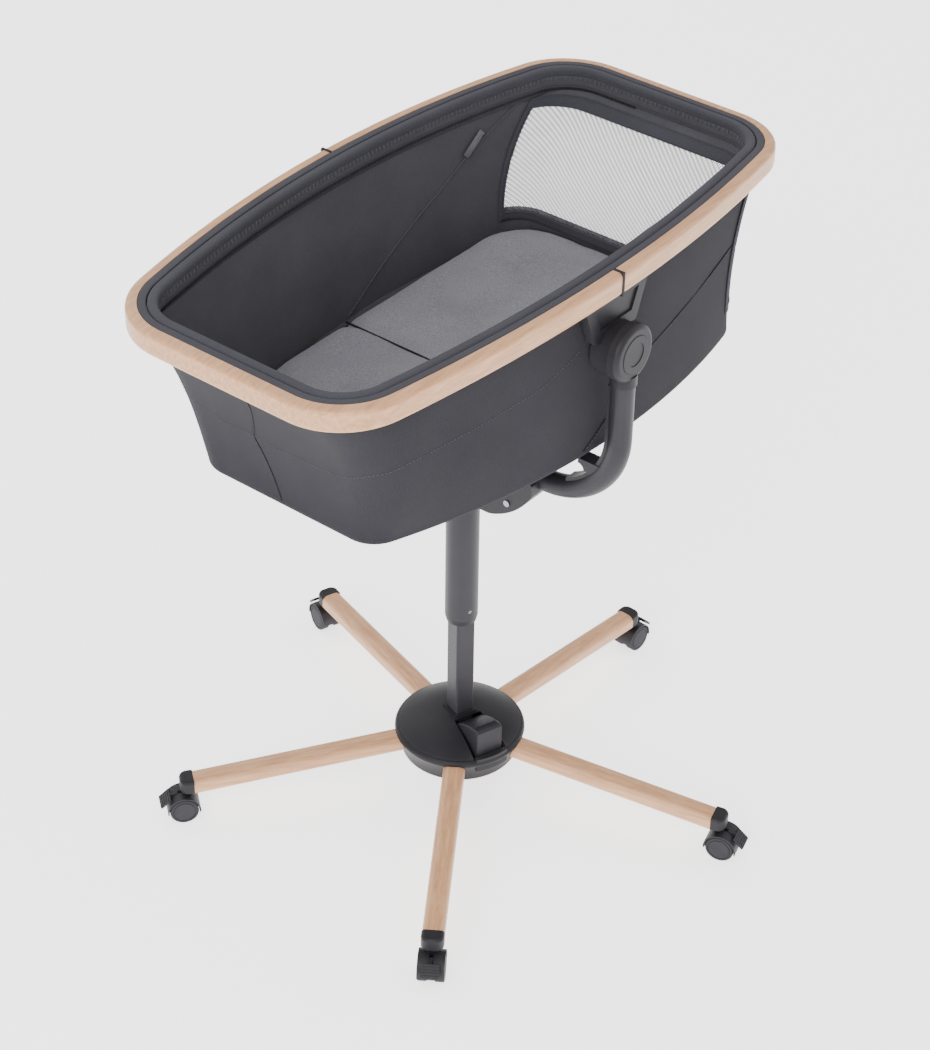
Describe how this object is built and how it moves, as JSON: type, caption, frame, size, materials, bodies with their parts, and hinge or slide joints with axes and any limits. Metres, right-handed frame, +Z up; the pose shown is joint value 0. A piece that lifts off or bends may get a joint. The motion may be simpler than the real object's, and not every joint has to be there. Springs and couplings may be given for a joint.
{
  "type": "bassinet on stand",
  "caption": "Oval fabric bassinet with a wooden rim, hung between the arms of a yoke on a telescopic column with a wooden star base and braked casters.",
  "frame": {"origin": "on the floor, below the axis of the column", "axes": "+Z up, +X along the basket towards its head end with the mesh window, -Y the near side"},
  "size_m": [0.88, 0.8136, 0.9163],
  "materials": {
    "beech": "satin lacquer",
    "charcoal_plastic": "fine grain",
    "charcoal_tube": "satin powder coat",
    "grey_plastic": "fine grain",
    "charcoal_fabric": "plain weave",
    "liner_fabric": "knitted",
    "mesh": "open mesh",
    "mattress_fabric": "melange jersey",
    "steel": "zinc plated",
    "aluminium": "mill finish",
    "wheel_tread": "soft tread",
    "board": "plain hardboard"
  },
  "bodies": {
    "base": {"hub_body": "charcoal_plastic", "hub_cover": "charcoal_plastic", "hub_bottom": "charcoal_plastic", "leg_spider": "steel", "column_tube": "charcoal_tube", "column_guide": "grey_plastic", "gas_cylinder": "steel", "base_screws": "steel", "pedal_bracket": "steel", "pedal_pin": "steel", "leg_caps": "charcoal_plastic", "leg_1": "beech", "leg_2": "beech", "leg_3": "beech", "leg_4": "beech", "leg_5": "beech"},
    "pedal": {"foot_pedal": "charcoal_plastic", "release_arm": "steel", "pedal_spring": "steel"},
    "lift": {"lift_tube": "charcoal_tube", "tube_bush": "charcoal_plastic", "lift_screws": "steel", "gas_rod": "steel", "yoke_tube": "charcoal_tube", "arm_covers": "grey_plastic", "yoke_saddle": "charcoal_plastic", "hub_housing_near": "charcoal_plastic", "hub_housing_far": "charcoal_plastic", "pivot_pins": "steel"},
    "cradle": {"tilt_bracket_near": "charcoal_plastic", "tilt_bracket_far": "charcoal_plastic", "rim_channel": "aluminium", "rim_trim": "charcoal_fabric", "wood_rim_head": "beech", "wood_rim_foot": "beech", "rim_joint_rings": "charcoal_plastic", "basket_shell": "charcoal_fabric", "liner": "liner_fabric", "mesh_window": "mesh", "base_board": "board", "mattress": "mattress_fabric"},
    "button_near": {"tilt_button_near": "charcoal_plastic"},
    "button_far": {"tilt_button_far": "charcoal_plastic"},
    "swivel_1": {"caster_fork_1": "charcoal_plastic"},
    "wheels_1": {"caster_wheels_1": "wheel_tread"},
    "brake_1": {"caster_brake_1": "charcoal_plastic"},
    "swivel_2": {"caster_fork_2": "charcoal_plastic"},
    "wheels_2": {"caster_wheels_2": "wheel_tread"},
    "brake_2": {"caster_brake_2": "charcoal_plastic"},
    "swivel_3": {"caster_fork_3": "charcoal_plastic"},
    "wheels_3": {"caster_wheels_3": "wheel_tread"},
    "brake_3": {"caster_brake_3": "charcoal_plastic"},
    "swivel_4": {"caster_fork_4": "charcoal_plastic"},
    "wheels_4": {"caster_wheels_4": "wheel_tread"},
    "brake_4": {"caster_brake_4": "charcoal_plastic"},
    "swivel_5": {"caster_fork_5": "charcoal_plastic"},
    "wheels_5": {"caster_wheels_5": "wheel_tread"},
    "brake_5": {"caster_brake_5": "charcoal_plastic"}
  },
  "joints": [
    {"name": "pedal_hinge", "type": "hinge", "parent": "base", "child": "pedal", "pos_m": [-0.01234, -0.03382, 0.108], "axis": [0.9394, -0.3428, 0], "range_deg": [0, 8], "stiffness_Nm_per_rad": 2, "springref_deg": -5.73},
    {"name": "height_slide", "type": "slide", "parent": "base", "child": "lift", "axis": [0, 0, 1], "range_m": [-0.15, 0.04]},
    {"name": "basket_tilt", "type": "hinge", "parent": "lift", "child": "cradle", "pos_m": [0, 0, 0.813], "axis": [0, 1, 0], "range_deg": [-20, 20]},
    {"name": "button_near_slide", "type": "slide", "parent": "lift", "child": "button_near", "axis": [0, 1, 0], "range_m": [0, 0.004], "stiffness_N_per_m": 500, "springref_m": -0.002},
    {"name": "button_far_slide", "type": "slide", "parent": "lift", "child": "button_far", "axis": [0, -1, 0], "range_m": [0, 0.004], "stiffness_N_per_m": 500, "springref_m": -0.002},
    {"name": "caster_swivel_1", "type": "hinge", "parent": "base", "child": "swivel_1", "pos_m": [-0.31771, -0.21389, 0.05], "axis": [0, 0, 1], "continuous": true},
    {"name": "wheel_spin_1", "type": "hinge", "parent": "swivel_1", "child": "wheels_1", "pos_m": [-0.32517, -0.21892, 0.02], "axis": [0.5585, -0.8295, 0], "continuous": true},
    {"name": "caster_brake_1", "type": "hinge", "parent": "swivel_1", "child": "brake_1", "pos_m": [-0.32932, -0.22171, 0.036], "axis": [0.5585, -0.8295, 0], "range_deg": [0, 10]},
    {"name": "caster_swivel_2", "type": "hinge", "parent": "base", "child": "swivel_2", "pos_m": [0.10525, -0.36825, 0.05], "axis": [0, 0, 1], "continuous": true},
    {"name": "wheel_spin_2", "type": "hinge", "parent": "swivel_2", "child": "wheels_2", "pos_m": [0.10772, -0.37691, 0.02], "axis": [0.9615, 0.2748, 0], "continuous": true},
    {"name": "caster_brake_2", "type": "hinge", "parent": "swivel_2", "child": "brake_2", "pos_m": [0.10909, -0.38172, 0.036], "axis": [0.9615, 0.2748, 0], "range_deg": [0, 10]},
    {"name": "caster_swivel_3", "type": "hinge", "parent": "base", "child": "swivel_3", "pos_m": [0.38276, -0.0137, 0.05], "axis": [0, 0, 1], "continuous": true},
    {"name": "wheel_spin_3", "type": "hinge", "parent": "swivel_3", "child": "wheels_3", "pos_m": [0.39175, -0.01402, 0.02], "axis": [0.0358, 0.9994, 0], "continuous": true},
    {"name": "caster_brake_3", "type": "hinge", "parent": "swivel_3", "child": "brake_3", "pos_m": [0.39675, -0.0142, 0.036], "axis": [0.0358, 0.9994, 0], "range_deg": [0, 10]},
    {"name": "caster_swivel_4", "type": "hinge", "parent": "base", "child": "swivel_4", "pos_m": [0.13131, 0.35979, 0.05], "axis": [0, 0, 1], "continuous": true},
    {"name": "wheel_spin_4", "type": "hinge", "parent": "swivel_4", "child": "wheels_4", "pos_m": [0.13439, 0.36824, 0.02], "axis": [-0.9394, 0.3428, 0], "continuous": true},
    {"name": "caster_brake_4", "type": "hinge", "parent": "swivel_4", "child": "brake_4", "pos_m": [0.13611, 0.37294, 0.036], "axis": [-0.9394, 0.3428, 0], "range_deg": [0, 10]},
    {"name": "caster_swivel_5", "type": "hinge", "parent": "base", "child": "swivel_5", "pos_m": [-0.3016, 0.23606, 0.05], "axis": [0, 0, 1], "continuous": true},
    {"name": "wheel_spin_5", "type": "hinge", "parent": "swivel_5", "child": "wheels_5", "pos_m": [-0.30869, 0.24161, 0.02], "axis": [-0.6163, -0.7875, 0], "continuous": true},
    {"name": "caster_brake_5", "type": "hinge", "parent": "swivel_5", "child": "brake_5", "pos_m": [-0.31263, 0.24469, 0.036], "axis": [-0.6163, -0.7875, 0], "range_deg": [0, 10]}
  ]
}
